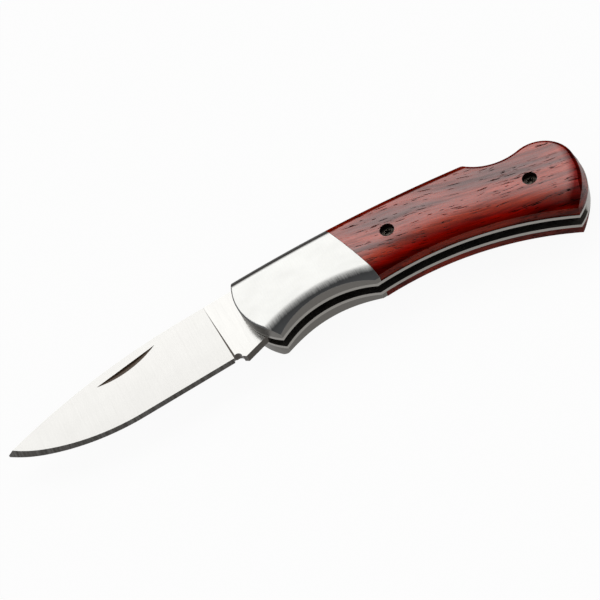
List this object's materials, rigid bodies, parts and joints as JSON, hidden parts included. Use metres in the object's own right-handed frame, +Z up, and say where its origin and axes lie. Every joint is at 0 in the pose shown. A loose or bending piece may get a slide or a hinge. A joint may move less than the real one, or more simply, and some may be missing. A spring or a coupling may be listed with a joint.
{
  "type": "folding pocket knife",
  "caption": "Lock-back folding pocket knife with a drop-point blade, steel bolsters with a finger groove, wooden scales and a thumb notch for the lock bar.",
  "frame": {"origin": "where the blade's pivot axis meets the surface that the knife lies on, at the right flank", "axes": "+X from the blade to the butt, +Y from the cutting edge to the spine, +Z up out of the left flank"},
  "size_m": [0.1589, 0.0357, 0.0126],
  "materials": {
    "blade_steel": "fine satin along the blade's height",
    "bolster_steel": "satin, brushed across the handle",
    "liner_steel": "ground",
    "spring_steel": "ground",
    "pin_steel": "ground",
    "screw_steel": "bright turned",
    "washer_bronze": "plain",
    "scale_wood": "polished red-brown hardwood"
  },
  "bodies": {
    "handle": {"lock_spring": "spring_steel", "butt_spacer": "liner_steel", "pivot_pin": "pin_steel", "lock_bar_pin": "pin_steel", "spacer_pin_upper": "pin_steel", "spacer_pin_lower": "pin_steel", "left_pivot_washer": "washer_bronze", "left_liner": "liner_steel", "left_bolster": "bolster_steel", "left_scale": "scale_wood", "left_front_scale_screw": "screw_steel", "left_rear_scale_screw": "screw_steel", "left_upper_bolster_rivet": "pin_steel", "left_lower_bolster_rivet": "pin_steel", "right_pivot_washer": "washer_bronze", "right_liner": "liner_steel", "right_bolster": "bolster_steel", "right_scale": "scale_wood", "right_front_scale_screw": "screw_steel", "right_rear_scale_screw": "screw_steel", "right_upper_bolster_rivet": "pin_steel", "right_lower_bolster_rivet": "pin_steel"},
    "blade": {"blade": "blade_steel"},
    "lock_bar": {"lock_bar": "spring_steel"}
  },
  "joints": [
    {"name": "blade_fold", "type": "hinge", "parent": "handle", "child": "blade", "pos_m": [0, 0, 0.0063], "axis": [0, 0, 1], "range_deg": [0, 170]},
    {"name": "lock_bar_rock", "type": "hinge", "parent": "handle", "child": "lock_bar", "pos_m": [0.032, 0.007, 0.0063], "axis": [0, 0, -1], "range_deg": [-2.7, 0], "stiffness_Nm_per_rad": 0.4, "springref_deg": -14.32}
  ]
}
